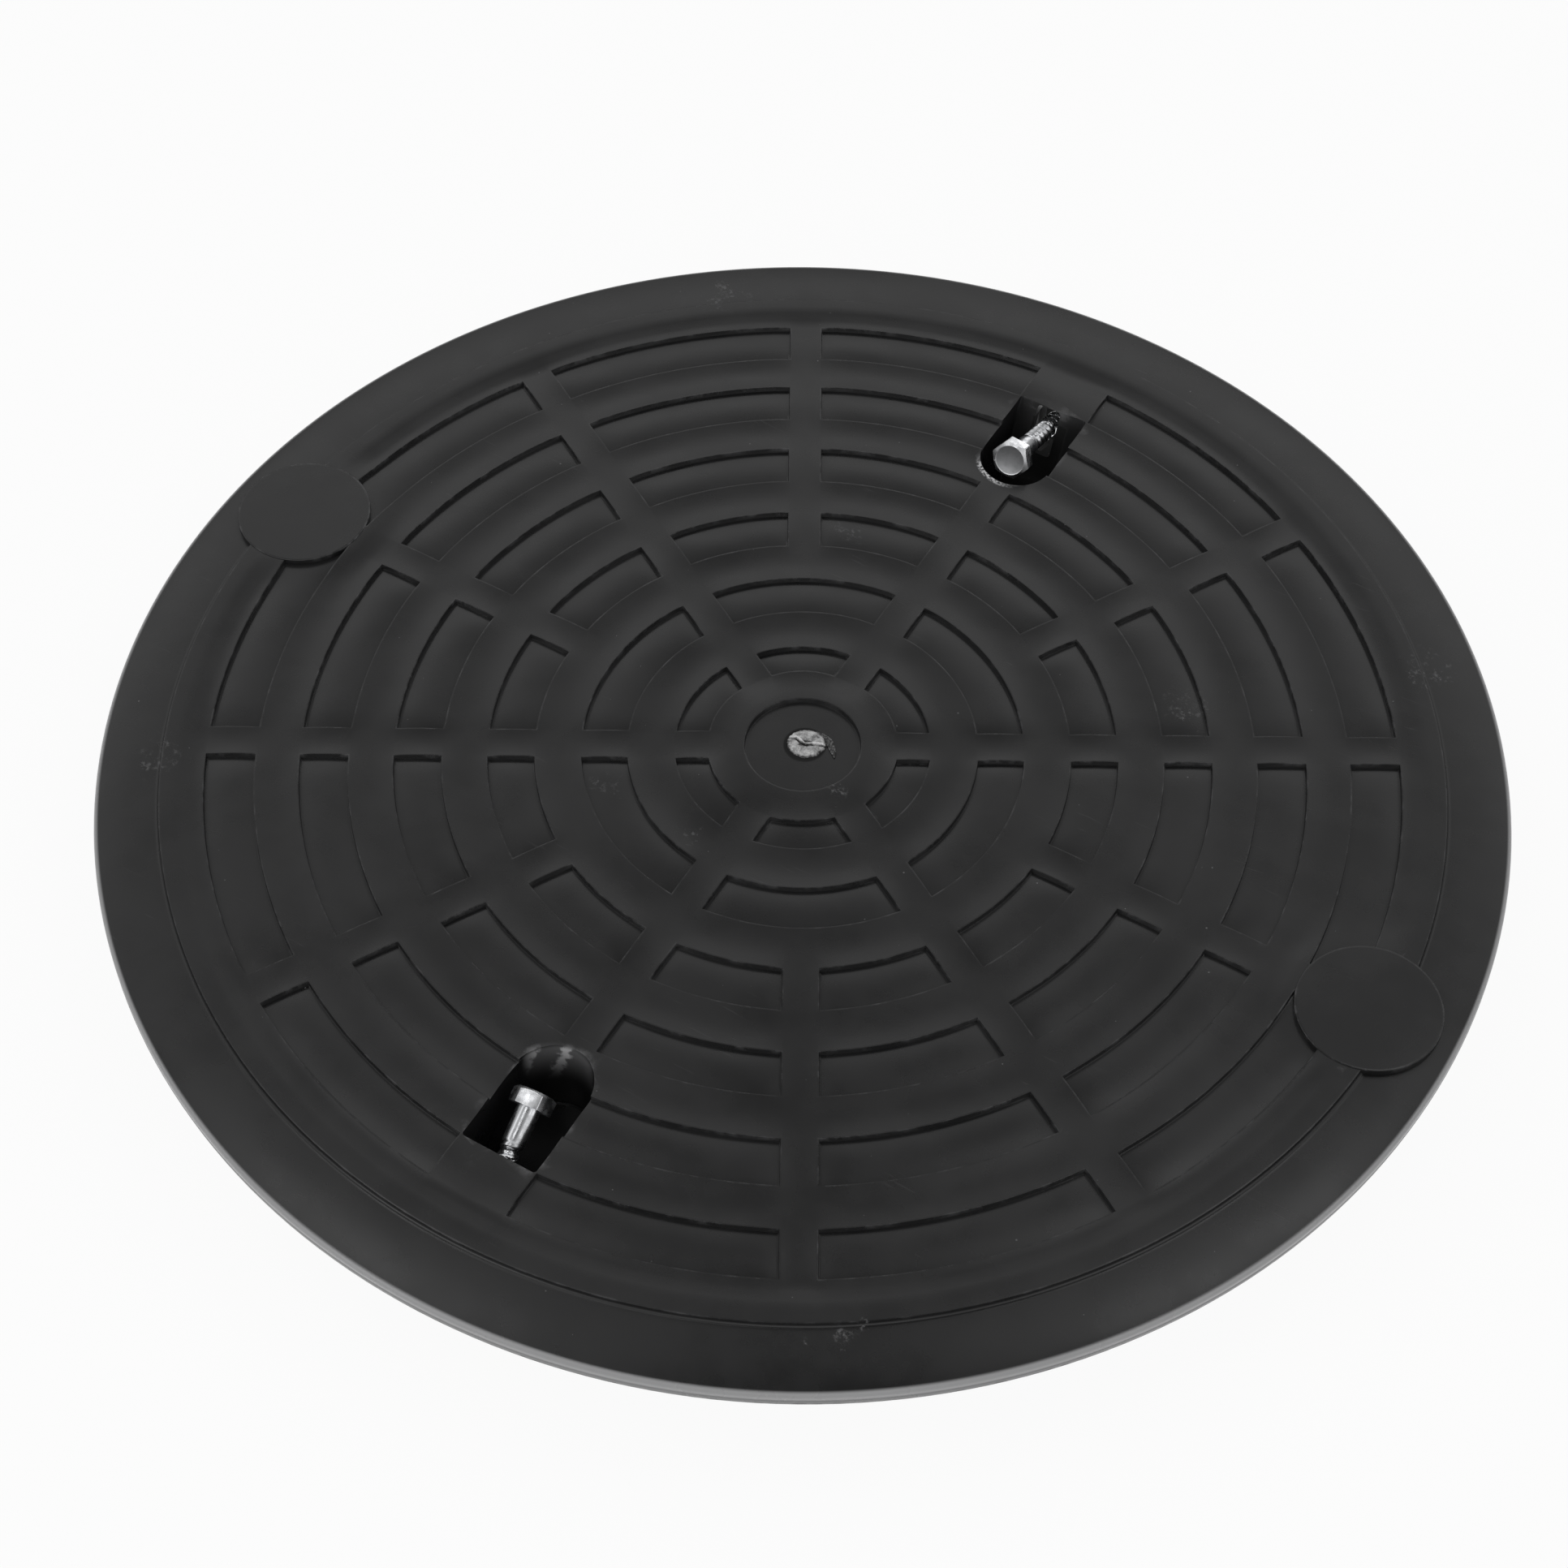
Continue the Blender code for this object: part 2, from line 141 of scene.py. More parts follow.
def uprights(bm):
    return [edge for edge in bm.edges if abs(edge.verts[0].co.z - edge.verts[1].co.z) > 0.001]


# node helpers
def nodeTree(owner):
    owner.use_nodes = True
    tree = owner.node_tree
    tree.nodes.clear()
    return tree


def setInputs(tree, node, inputs):
    for key, value in inputs.items():
        if isinstance(value, bpy.types.NodeSocket):
            tree.links.new(value, node.inputs[key])
        else:
            node.inputs[key].default_value = value


def addNode(tree, kind, inputs=None, **settings):
    node = tree.nodes.new("ShaderNode" + kind)
    for key, value in settings.items():
        setattr(node, key, value)
    setInputs(tree, node, inputs or {})
    return node


def calc(tree, operation, first, second=0.0, clamp=False):
    return addNode(tree, "Math", {0: first, 1: second}, operation=operation, use_clamp=clamp).outputs[0]


def product(tree, first, *others):
    for other in others:
        first = calc(tree, "MULTIPLY", first, other)
    return first


def remap(tree, value, low, high, toLow=0.0, toHigh=1.0):
    return addNode(tree, "MapRange", {"Value": value, "From Min": low, "From Max": high,
                                      "To Min": toLow, "To Max": toHigh},
                   interpolation_type="SMOOTHSTEP").outputs[0]


def noiseOf(tree, vector, scale, detail, roughness=0.5):
    return addNode(tree, "TexNoise", {"Vector": vector, "Scale": scale, "Detail": detail,
                                      "Roughness": roughness}).outputs["Fac"]


def distanceTo(tree, vector, point):
    return addNode(tree, "VectorMath", {0: vector, 1: point}, operation="DISTANCE").outputs["Value"]


def mixColour(tree, factor, first, second):
    return addNode(tree, "Mix", {0: factor, 6: first, 7: second}, data_type="RGBA").outputs[2]


def newGroup(name, inputs, output):
    # a group with the given inputs and one value as its output
    group = bpy.data.node_groups.new(name, "ShaderNodeTree")
    for label, kind, value in inputs:
        socket = group.interface.new_socket(label, in_out="INPUT", socket_type="NodeSocket" + kind)
        if value is not None:
            socket.default_value = value
    group.interface.new_socket(output, in_out="OUTPUT", socket_type="NodeSocketFloat")
    start = group.nodes.new("NodeGroupInput")
    end = group.nodes.new("NodeGroupOutput")
    return group, start.outputs, end.inputs[output]


def useGroup(tree, group, inputs):
    node = tree.nodes.new("ShaderNodeGroup")
    node.node_tree = group
    setInputs(tree, node, inputs)
    return node.outputs[0]


def finishMaterial(tree, colour, roughness, height, lift, strength=1.0, **more):
    bump = addNode(tree, "Bump", {"Height": height, "Distance": lift, "Strength": strength})
    shader = addNode(tree, "BsdfPrincipled", {"Base Color": colour, "Roughness": roughness,
                                              "Normal": bump.outputs[0]})
    for name, value in more.items():
        shader.inputs[name].default_value = value
    addNode(tree, "OutputMaterial", {"Surface": shader.outputs[0]})


# fine grain and slow unevenness of a moulded or drawn surface, as a height in metres
grainGroup, given, result = newGroup(
    "surfaceGrain",
    [("Vector", "Vector", None), ("Grain Size", "Float", 0.0006), ("Grain Height", "Float", 0.00001),
     ("Wave Size", "Float", 0.02), ("Wave Height", "Float", 0.0001)],
    "Height")
tree = grainGroup
grain = noiseOf(tree, given["Vector"], calc(tree, "DIVIDE", 1.0, given["Grain Size"]), 2.0)
wave = noiseOf(tree, given["Vector"], calc(tree, "DIVIDE", 1.0, given["Wave Size"]), 1.0)
tree.links.new(calc(tree, "ADD", product(tree, grain, given["Grain Height"]),
                    product(tree, wave, given["Wave Height"])), result)

# rubbed corners: the mesh's own edgeWear attribute, broken up by noise
wearGroup, given, result = newGroup(
    "rubbedEdges",
    [("Vector", "Vector", None), ("Edge", "Float", 0.0), ("Patch Size", "Float", 0.02),
     ("Amount", "Float", 0.5)],
    "Mask")
tree = wearGroup
patches = noiseOf(tree, given["Vector"], calc(tree, "DIVIDE", 1.0, given["Patch Size"]), 5.0, 0.7)
broken = product(tree, remap(tree, patches, 0.45, 0.70), given["Edge"])
tree.links.new(calc(tree, "MULTIPLY", broken, given["Amount"], clamp=True), result)

# loose specks of dust and short pale scratches
dustGroup, given, result = newGroup(
    "specksAndScratches",
    [("Vector", "Vector", None), ("Speck Spacing", "Float", 0.012), ("Speck Size", "Float", 0.05),
     ("Amount", "Float", 0.5)],
    "Mask")
tree = dustGroup
cells = addNode(tree, "TexVoronoi", {"Vector": given["Vector"],
                                     "Scale": calc(tree, "DIVIDE", 1.0, given["Speck Spacing"])})
chance = addNode(tree, "SeparateColor", {"Color": cells.outputs["Color"]}).outputs[0]
specks = calc(tree, "LESS_THAN", cells.outputs["Distance"], product(tree, given["Speck Size"], chance))
stretched = addNode(tree, "Mapping", {"Vector": given["Vector"], "Rotation": (0.0, 0.0, 0.6),
                                      "Scale": (60.0, 900.0, 60.0)}).outputs[0]
lines = remap(tree, noiseOf(tree, stretched, 1.0, 2.0), 0.66, 0.74)
where = remap(tree, noiseOf(tree, given["Vector"], 22.0, 3.0), 0.55, 0.66)
scratches = product(tree, lines, where, 0.12)
both = calc(tree, "MAXIMUM", specks, scratches)
tree.links.new(calc(tree, "MULTIPLY", both, given["Amount"], clamp=True), result)

# one rubbed patch round a point, with an edge that wanders
patchGroup, given, result = newGroup(
    "rubbedPatch",
    [("Vector", "Vector", None), ("Centre", "Vector", (0.0, 0.0, 0.0)), ("Radius", "Float", 0.01),
     ("Wander", "Float", 0.5), ("Rubbing", "Float", 0.5), ("Amount", "Float", 0.5)],
    "Mask")
tree = patchGroup
apart = distanceTo(tree, given["Vector"], given["Centre"])
reach = calc(tree, "ADD", calc(tree, "DIVIDE", apart, given["Radius"]),
             remap(tree, given["Wander"], 0.3, 0.7, -0.35, 0.75))
mask = product(tree, remap(tree, reach, 1.0, 0.1), remap(tree, given["Rubbing"], 0.48, 0.68))
tree.links.new(calc(tree, "MULTIPLY", mask, given["Amount"], clamp=True), result)


def wallStreaksAndShade(tree, place, spot, apart):
    # pale streaks down the near pocket's inner wall, leaning a little and with rough edges, over painted
    # shade: grey painted on the wall's upper part that fades to black further down
    lean, half = plastic["streakLean"], plastic["pocketHalf"]
    rough = remap(tree, noiseOf(tree, place, 420.0, 3.0), 0.3, 0.7, -0.0009, 0.0009)
    leaned = calc(tree, "ADD", calc(tree, "ADD", spot[0], product(tree, spot[2], -lean)), rough)
    # painted shade: a grey base on the wall, which the depth fade below takes to black lower down
    tone = 0.13
    for x, width, strength in plastic["streaks"]:
        off = calc(tree, "ABSOLUTE", calc(tree, "ADD", leaned, lean * plastic["streakTop"] - x))
        tone = calc(tree, "ADD", tone, remap(tree, off, width, width * 0.35, 0.0, strength))
    onWall = remap(tree, apart, half + 0.0026, half + 0.0006)
    return product(tree, onWall, remap(tree, spot[0], 0.0110, 0.0050), remap(tree, spot[2], 0.0190, 0.0360),
                   tone, remap(tree, spot[2], 0.0396, 0.0376))


def mouthHighlight(tree, place, spot, apart):
    # a painted highlight: a pale ragged crescent on the far pocket's rounded mouth
    half = plastic["pocketHalf"]
    pocketStreaksAndLight = noiseOf(tree, place, 900.0, 4.0)
    return product(tree, remap(tree, apart, half + 0.0022, half + 0.0012),
                   remap(tree, apart, half - 0.0002, half + 0.0003), remap(tree, spot[0], 0.0070, -0.0040),
                   remap(tree, spot[0], -0.0135, -0.0095), remap(tree, pocketStreaksAndLight, 0.38, 0.60))


def pocketMarksAndLight(tree, place, spot, flat):
    # pale streaks in the near pocket with painted shade on its wall, and a painted highlight on the far
    # pocket's mouth
    middle = plastic["pocketMiddle"]
    masks = []
    for side, marks in ((-1, wallStreaksAndShade), (1, mouthHighlight)):
        apart = distanceTo(tree, flat, (0.0, side * middle, 0.0))
        inner = remap(tree, calc(tree, "MULTIPLY", spot[1], side), middle - 0.003, middle - 0.009)
        masks.append(product(tree, inner, marks(tree, place, spot, apart)))
    return calc(tree, "ADD", masks[0], masks[1], clamp=True)


def slotAndStubShade(tree, spot, flat):
    # painted shade: near-black in the slots that the screws pass through, and a painted shadow round the foot
    # of the gate stub
    across = remap(tree, calc(tree, "ABSOLUTE", spot[0]), 0.0078, 0.0066)
    along = calc(tree, "ABSOLUTE", spot[1])
    slots = product(tree, across, remap(tree, along, 0.1730, 0.1760), remap(tree, along, 0.1990, 0.1960),
                    remap(tree, spot[2], 0.0350, 0.0335))
    stubShadow = product(tree, remap(tree, distanceTo(tree, flat, plastic["gateMark"]), 0.0080, 0.0070),
                     remap(tree, spot[2], 0.0360, 0.0370))
    return calc(tree, "MAXIMUM", slots, stubShadow)


def plasticMaterial():
    mat = bpy.data.materials.new(plastic["name"])
    tree = nodeTree(mat)
    place = addNode(tree, "TexCoord").outputs["Object"]
    spot = addNode(tree, "SeparateXYZ", {0: place}).outputs
    flat = addNode(tree, "CombineXYZ", {0: spot[0], 1: spot[1], 2: 0.0}).outputs[0]
    edge = addNode(tree, "Attribute", attribute_name="edgeWear").outputs["Fac"]
    height = useGroup(tree, grainGroup, {"Vector": place, "Grain Size": 0.0007, "Grain Height": 0.000010,
                                         "Wave Size": 0.018, "Wave Height": 0.00012})
    worn = useGroup(tree, wearGroup, {"Vector": place, "Edge": edge, "Patch Size": 0.008,
                                      "Amount": plastic["wear"]})
    dust = useGroup(tree, dustGroup, {"Vector": place, "Speck Spacing": 0.008, "Speck Size": 0.040,
                                      "Amount": plastic["dust"]})
    rubbed = calc(tree, "MAXIMUM", worn, dust)
    wander = noiseOf(tree, place, 230.0, 3.0)
    fine = noiseOf(tree, place, 700.0, 3.0, 0.7)
    for (x, y), radius, scratched, amount in rubbedPlaces:
        patch = useGroup(tree, patchGroup, {"Vector": place, "Centre": (x, y, plastic["patchHeight"]),
                                            "Radius": radius, "Wander": wander,
                                            "Rubbing": fine if scratched else wander, "Amount": amount})
        rubbed = calc(tree, "MAXIMUM", rubbed, patch)
    pocketStreaksAndLight = pocketMarksAndLight(tree, place, spot, flat)
    paintedShade = slotAndStubShade(tree, spot, flat)

    # painted sheen: the lip's side is painted pale grey, lighter towards the top, for its bright reflection
    # of the front lamps and floor; the pale ends in a jagged line above the foot
    out = addNode(tree, "VectorMath", {0: flat}, operation="LENGTH").outputs["Value"]
    jagged = calc(tree, "ADD", spot[2], remap(tree, wander, 0.3, 0.7, -0.0009, 0.0009))
    side = product(tree, remap(tree, out, 0.2390, 0.2402), remap(tree, jagged, 0.0306, 0.0316),
                   remap(tree, spot[2], 0.0325, 0.0350, 0.36, 0.92))

    cloud = noiseOf(tree, place, 26.0, 5.0, 0.6)
    darker, lighter = ((*[c * share for c in plastic["colour"]], 1.0) for share in (0.86, 1.16))
    colour = mixColour(tree, remap(tree, cloud, 0.35, 0.65), darker, lighter)
    for mask, tint in ((rubbed, "rubbed"), (pocketStreaksAndLight, "pocketStreaksAndLight"), (side, "sideSheen"), (paintedShade, "paintedShade")):
        colour = mixColour(tree, mask, colour, plastic[tint])
    roughness = remap(tree, cloud, 0.3, 0.7, plastic["roughness"] - 0.03, plastic["roughness"] + 0.05)
    for mask, share in ((calc(tree, "MAXIMUM", rubbed, pocketStreaksAndLight), 0.25), (paintedShade, 0.6)):
        roughness = calc(tree, "ADD", roughness, calc(tree, "MULTIPLY", mask, share), clamp=True)
    finishMaterial(tree, colour, roughness, height, 1.0, IOR=1.5)
    return mat


def steelMaterial():
    mat = bpy.data.materials.new(steel["name"])
    tree = nodeTree(mat)
    place = addNode(tree, "TexCoord").outputs["Object"]
    edge = addNode(tree, "Attribute", attribute_name="edgeWear").outputs["Fac"]
    face = addNode(tree, "Attribute", attribute_name="headFace").outputs["Fac"]
    height = useGroup(tree, grainGroup, {"Vector": place, "Grain Size": 0.0009, "Grain Height": 0.000004,
                                         "Wave Size": 0.004, "Wave Height": 0.00005})
    worn = useGroup(tree, wearGroup, {"Vector": place, "Edge": edge, "Patch Size": 0.003, "Amount": 0.6})
    stain = noiseOf(tree, place, 260.0, 3.0, 0.6)
    stained = (*[c * steel["stained"] for c in steel["colour"]], 1.0)
    colour = mixColour(tree, remap(tree, stain, 0.40, 0.66), (*steel["colour"], 1.0), stained)
    colour = mixColour(tree, worn, colour, steel["corners"])
    # painted reflection: the head's face is painted dark grey for its dark reflection; its rougher stamped
    # finish is the roughness below
    colour = mixColour(tree, calc(tree, "MULTIPLY", face, 0.75), colour, steel["headFace"])
    roughness = remap(tree, stain, 0.35, 0.7, steel["roughness"], steel["roughness"] + 0.16)
    roughness = calc(tree, "ADD", roughness, calc(tree, "MULTIPLY", face, 0.12))
    finishMaterial(tree, colour, roughness, height, 1.0, Metallic=1.0)
    return mat


plasticLook = plasticMaterial()
steelLook = steelMaterial()
print("materials ready")


# the moulded cover: every size in metres, heights above the collar's foot
cover = {
    "columns": 240,               # steps round the cover
    "radius": 0.2409,
    "plateau": 0.0400,            # top of the raised rings and spokes
    "relief": 0.0018,             # depth of the sunk pads
    "draft": 0.00025,
    "hold": 0.0006,               # loops beside each corner, which keep the flats flat
    "padCorner": 0.00036,
    "footCorner": 0.0004,
    "discRadius": 0.0200,
    "padRings": [(0.0326, 0.0438), (0.06004, 0.0758), (0.09174, 0.1078), (0.12344, 0.1398),
                 (0.15514, 0.1718), (0.18684, 0.2038)],
    "fewSpokes": 2,               # inner rings with six spokes, the others have twelve
    "spokeHalf": 0.0059,
    "bridgeHalf": 0.01415,
    "stepRadius": 0.2187,
    "stepFillet": 0.0009,
    "rimFall": 0.0011,
    "edgeRound": 0.0017,
    "lipFoot": 0.0300,
    "lipWall": 0.0040,
    # side of the lip with the parting line of the mould: how far inside the radius, height
    "lipSide": [(0.00005, 0.0345), (0.0001, 0.0336), (0.0, 0.03345), (0.0, 0.0332), (0.0002, 0.0330),
                (0.0003, 0.0318), (0.0004, 0.0309), (0.0006, 0.0304), (0.0010, 0.0301)],
    "rimUnderside": 0.0334,
    "collarRadius": 0.1945,
    "collarLand": 0.0015,
    "collarWall": 0.0045,
    "collarDraft": 0.0005,
    "gussetHalf": 0.0015,
    "ribHalf": 0.0013,
    "ribRadii": [0.05158, 0.08332, 0.11532, 0.14732],
    "hubRadius": 0.0210,
    "underside": 0.0340,
    "sag": 0.00105,               # sink marks over the ribs
    "sagPitch": 0.0320,
    "sagBar": 0.0075,             # half width of the sink mark over a straight rib
    "sagCrest": 0.19532,          # middle of the outer pads
    "plateAt": 0.2103,            # the two round plates on the rim
    "plateRadius": 0.0240,
    "plateRise": 0.0003,
    # spacing of the rows of faces
    "topPitch": 0.0036,
    "padPitch": 0.0042,
    "slopePitch": 0.002,
    "rimPitch": 0.008,
    "cellPitch": 0.010,
    # radii between which one layout of columns or depth of sink marks turns into the next
    "discToSix": (0.0200, 0.0322),
    "sixToTwelve": (0.0766, 0.0908),
    "toBridge": (0.1726, 0.1860),
    "toEven": (0.2050, 0.2170),
    "sagStart": (0.021, 0.034),
    "sagToTwelve": (0.075, 0.092),
    "sagEnd": (0.2060, 0.2130),
}
plateau = cover["plateau"]
floorHeight = plateau - cover["relief"]
stepAngle = 2 * pi / cover["columns"]
outline = []                      # radius, height, zone, from the middle of the top round to the middle below
padBands, cellBands = [], []


def addRows(radii, height, zone):
    for radius in radii:
        outline.append((radius, height, zone))
    return len(outline) - 1


def addHeld(start, end):
    # rows over the raised top, with a holding row close to either end
    first, last = start + cover["hold"], end - cover["hold"]
    return addRows([first] + between(first, last, cover["topPitch"]) + [end], plateau, "top")


last = cover["discRadius"]
addRows([0.0] + between(0.0, last - 0.0008, 0.004) + [last - cover["draft"]], floorHeight, "top")
addRows([last], plateau, "top")
for inner, outer in cover["padRings"]:
    start = addHeld(last, inner)
    padBands.append((start, addRows(between(inner, outer, cover["padPitch"]), plateau, "top")))
    last = outer
addHeld(last, cover["stepRadius"])
rimStart = cover["stepRadius"] + cover["draft"]
edgeMiddle = cover["radius"] - cover["edgeRound"]
slopeStart = rimStart + 0.0016
addRows([rimStart, slopeStart], floorHeight, "even")
for radius in between(slopeStart, edgeMiddle, cover["slopePitch"]):
    share = (radius - rimStart) / (edgeMiddle - rimStart)
    addRows([radius], floorHeight - cover["rimFall"] * share ** 2.4, "even")
rimTop = floorHeight - cover["rimFall"]
for i in range(1, 9):
    turn = radians(80 - i * 10)
    height = rimTop - cover["edgeRound"] * (1 - sin(turn))
    addRows([edgeMiddle + cover["edgeRound"] * cos(turn)], height, "even")
for inset, height in cover["lipSide"]:
    addRows([cover["radius"] - inset], height, "even")
addRows([cover["radius"] - 0.0015], cover["lipFoot"], "even")
rimInner = cover["collarRadius"] + cover["collarLand"]
lipInner = cover["radius"] - cover["lipWall"]
start = addRows([lipInner], cover["lipFoot"], "rim")
rimBand = (start, addRows(between(lipInner, rimInner, cover["rimPitch"]), cover["lipFoot"], "rim"))
addRows([cover["collarRadius"] + 0.0004], cover["lipFoot"], "even")
collarTop = cover["lipFoot"] - 0.0005
addRows([cover["collarRadius"]], collarTop, "even")
for height in between(collarTop, 0.0006, 0.006):
    addRows([cover["collarRadius"] - cover["collarDraft"] * (1 - height / cover["lipFoot"])], height, "even")
addRows([cover["collarRadius"] - 0.0011], 0.0, "even")
cellOuter = cover["collarRadius"] - cover["collarWall"]
for wall in reversed(cover["ribRadii"]):
    start = addRows([cellOuter], 0.0, "cells")
    inner = between(cellOuter, wall + cover["ribHalf"], cover["cellPitch"])
    cellBands.append((start, addRows(inner, 0.0, "cells")))
    cellOuter = wall - cover["ribHalf"]
start = addRows([cellOuter], 0.0, "cells")
cellBands.append((start, addRows(between(cellOuter, cover["hubRadius"], cover["cellPitch"]), 0.0, "cells")))
hubInside = cover["hubRadius"] - 2 * cover["ribHalf"]
start = addRows([hubInside], 0.0, "even")
hubBand = (start, addRows(between(hubInside, 0.0, 0.006), 0.0, "even"))


def fanned(column, radius, first, gap, marks):
    # angle of a column: the first few either side of a bar run parallel to it, the rest share what is left
    offset = (column - first + gap // 2) % gap - gap // 2
    count = abs(offset)
    reach = gap / 2 * stepAngle
    if count < len(marks):
        turn = asin(marks[count] / radius)
    else:
        edge = asin(marks[-1] / radius)
        done = len(marks) - 1
        turn = edge + (reach - edge) * (count - done) / (gap / 2 - done)
    return (column - offset) * stepAngle + (turn if offset >= 0 else -turn)


def columnAngle(column, radius, zone):
    even = column * stepAngle
    if zone == "even" or radius < 0.001:
        return even
    if zone == "rim":
        return fanned(column, radius, 5, 10, (0.0, cover["gussetHalf"]))
    if zone == "cells":
        many = radius > cover["ribRadii"][1]
        return fanned(column, radius, 0 if many else 20, 20 if many else 40, (0.0, cover["ribHalf"]))
    if radius <= cover["discRadius"]:
        return even
    hold = cover["hold"]
    half = cover["spokeHalf"]
    angle = fanned(column, radius, 20, 40, (0.0, half - hold, half))
    angle = even + (angle - even) * smoothStep(*cover["discToSix"], radius)
    if column % 120 in range(50, 71):         # the wide bridges outside the pockets
        half += (cover["bridgeHalf"] - half) * smoothStep(*cover["toBridge"], radius)
    outer = fanned(column, radius, 0, 20, (0.0, half - hold, half))
    angle += (outer - angle) * smoothStep(*cover["sixToTwelve"], radius)
    return angle + (even - angle) * smoothStep(*cover["toEven"], radius)


def sagAt(x, y):
    # how far the skin sinks over the ribs below it
    radius = hypot(x, y)
    turn = atan2(y, x)
    ring = 0.5 - 0.5 * cos(2 * pi * (radius - cover["sagCrest"]) / cover["sagPitch"])
    many = smoothStep(*cover["sagToTwelve"], radius)
    twelve = radius * abs(sin((turn + pi / 12) % (pi / 6) - pi / 12))
    six = radius * abs(sin(turn % (pi / 3) - pi / 6))
    wide = cover["sagBar"]
    bar = max(many * exp(-(twelve / wide) ** 2), (1 - many) * exp(-(six / wide) ** 2))
    deep = 1 - (1 - ring) * (1 - bar)
    deep *= 1 - smoothStep(*cover["sagEnd"], radius)
    deep *= smoothStep(*cover["sagStart"], radius)
    for side in (-1, 1):
        deep *= smoothStep(cover["plateRadius"], cover["plateRadius"] + 0.010,
                           hypot(x - side * cover["plateAt"], y))
    return -cover["sag"] * deep


bm = bmesh.new()
rowLayer = bm.verts.layers.int.new("row")
chain = []
for row, (radius, height, zone) in enumerate(outline):
    vert = bm.verts.new((radius, 0.0, height))
    vert[rowLayer] = row
    chain.append(vert)
turnChain(bm, chain, cover["columns"])

cellFaces = {}
for face in bm.faces:
    middle = face.calc_center_median()
    column = int(atan2(middle.y, middle.x) % (2 * pi) / stepAngle)
    cellFaces[min(vert[rowLayer] for vert in face.verts), column] = face
for vert in bm.verts:
    radius, height, zone = outline[vert[rowLayer]]
    column = round(atan2(vert.co.y, vert.co.x) % (2 * pi) / stepAngle) % cover["columns"]
    angle = columnAngle(column, radius, zone)
    vert.co.x, vert.co.y = radius * cos(angle), radius * sin(angle)


def bandFaces(band, first=0, gap=1, bars=()):
    # the faces of a band of rows, without the columns that the bars take
    return [cellFaces[row, column] for row in range(*band) for column in range(cover["columns"])
            if (column - first) % gap not in bars]


def sink(faces, draft, depth):
    bmesh.ops.inset_region(bm, faces=faces, use_boundary=True, use_even_offset=True,
                           thickness=draft, depth=-depth)


pads = []
for i, band in enumerate(padBands):
    few = i < cover["fewSpokes"]
    pads += bandFaces(band, 20, 40, (38, 39, 0, 1)) if few else bandFaces(band, 0, 20, (18, 19, 0, 1))
sink(pads, cover["draft"], cover["relief"])
sink(pads, cover["hold"], 0.0)
hollows = bandFaces(hubBand)
for i, band in enumerate(cellBands):
    hollows += bandFaces(band, 0, 20, (19, 0)) if i < 3 else bandFaces(band, 20, 40, (39, 0))
sink(hollows, 0.0003, cover["underside"])
sink(bandFaces(rimBand, 0, 10, (4, 5)), 0.0002, cover["rimUnderside"] - cover["lipFoot"])


def cornersIn(low, high, reach):
    return [edge for edge in bm.edges if len(edge.link_faces) == 2
            and all(low < vert.co.z < high and hypot(vert.co.x, vert.co.y) < reach for vert in edge.verts)
            and edge.calc_face_angle() > radians(50)]


stepFoot = [edge for edge in cornersIn(floorHeight - 0.0003, floorHeight + 0.0003, 0.2195)
            if all(hypot(vert.co.x, vert.co.y) > 0.2188 for vert in edge.verts)]
roundOff(bm, stepFoot, cover["stepFillet"], 3, True)
roundOff(bm, cornersIn(floorHeight - 0.0003, plateau + 0.001, 0.2188), cover["padCorner"], 2, True)
roundOff(bm, cornersIn(-0.001, 0.0003, 0.2), cover["footCorner"], 1, True)
for vert in bm.verts:
    if vert.co.z > 0.0365 and vert.co.xy.length < 0.2186:
        vert.co.z += sagAt(vert.co.x, vert.co.y)
print("cover turned:", len(bm.faces), "faces")
coverSkin = newObject("coverMoulding", bm)

# pockets for the lock screws, lofted from outlines at several heights
pocket = {
    "outerEdge": 0.18684,         # where the ramp meets the top
    "length": 0.0433,
    "halfWidth": 0.01375,
    "floor": 0.0050,
    "wall": 0.0034,
    "ramp": radians(67),
    "corner": 0.0012,
    "mouthRound": 0.0007,
    "roll": 0.0030,
    "rollDepth": 0.0060,
}


def pocketOutline(bm, side, height, grow, rolled=0.0):
    half = pocket["halfWidth"] + grow
    outer = pocket["outerEdge"] - (plateau - height) / tan(pocket["ramp"]) + grow
    middle = pocket["outerEdge"] - pocket["length"] + pocket["halfWidth"]
    corner = pocket["corner"]
    points = []
    for i in range(25):
        turn = pi + pi * i / 24
        points.append((half * cos(turn), middle + half * sin(turn) - rolled * sin(turn) ** 2))
    for sign, first in ((1, 0), (-1, pi / 2)):
        for i in range(5):
            turn = first + pi / 2 * i / 4
            points.append((sign * (half - corner) + corner * cos(turn), outer - corner + corner * sin(turn)))
    verts = [bm.verts.new((side * x, side * y, height)) for x, y in points]
    return [bm.edges.new((first, second)) for first, second in zip(verts, verts[1:] + verts[:1])]


def pocketSolid(name, side, levels):
    bm = bmesh.new()
    loops = [pocketOutline(bm, side, *level) for level in levels]
    for lower, upper in zip(loops, loops[1:]):
        bmesh.ops.bridge_loops(bm, edges=lower + upper)
    bmesh.ops.edgeloop_fill(bm, edges=loops[0])
    bmesh.ops.edgeloop_fill(bm, edges=loops[-1])
    bmesh.ops.recalc_face_normals(bm, faces=bm.faces)
    return newObject(name, bm)


def joined(name, pieces):
    bm = bmesh.new()
    for obj in pieces:
        bm.from_mesh(obj.data)
        bpy.data.objects.remove(obj)
    return newObject(name, bm)


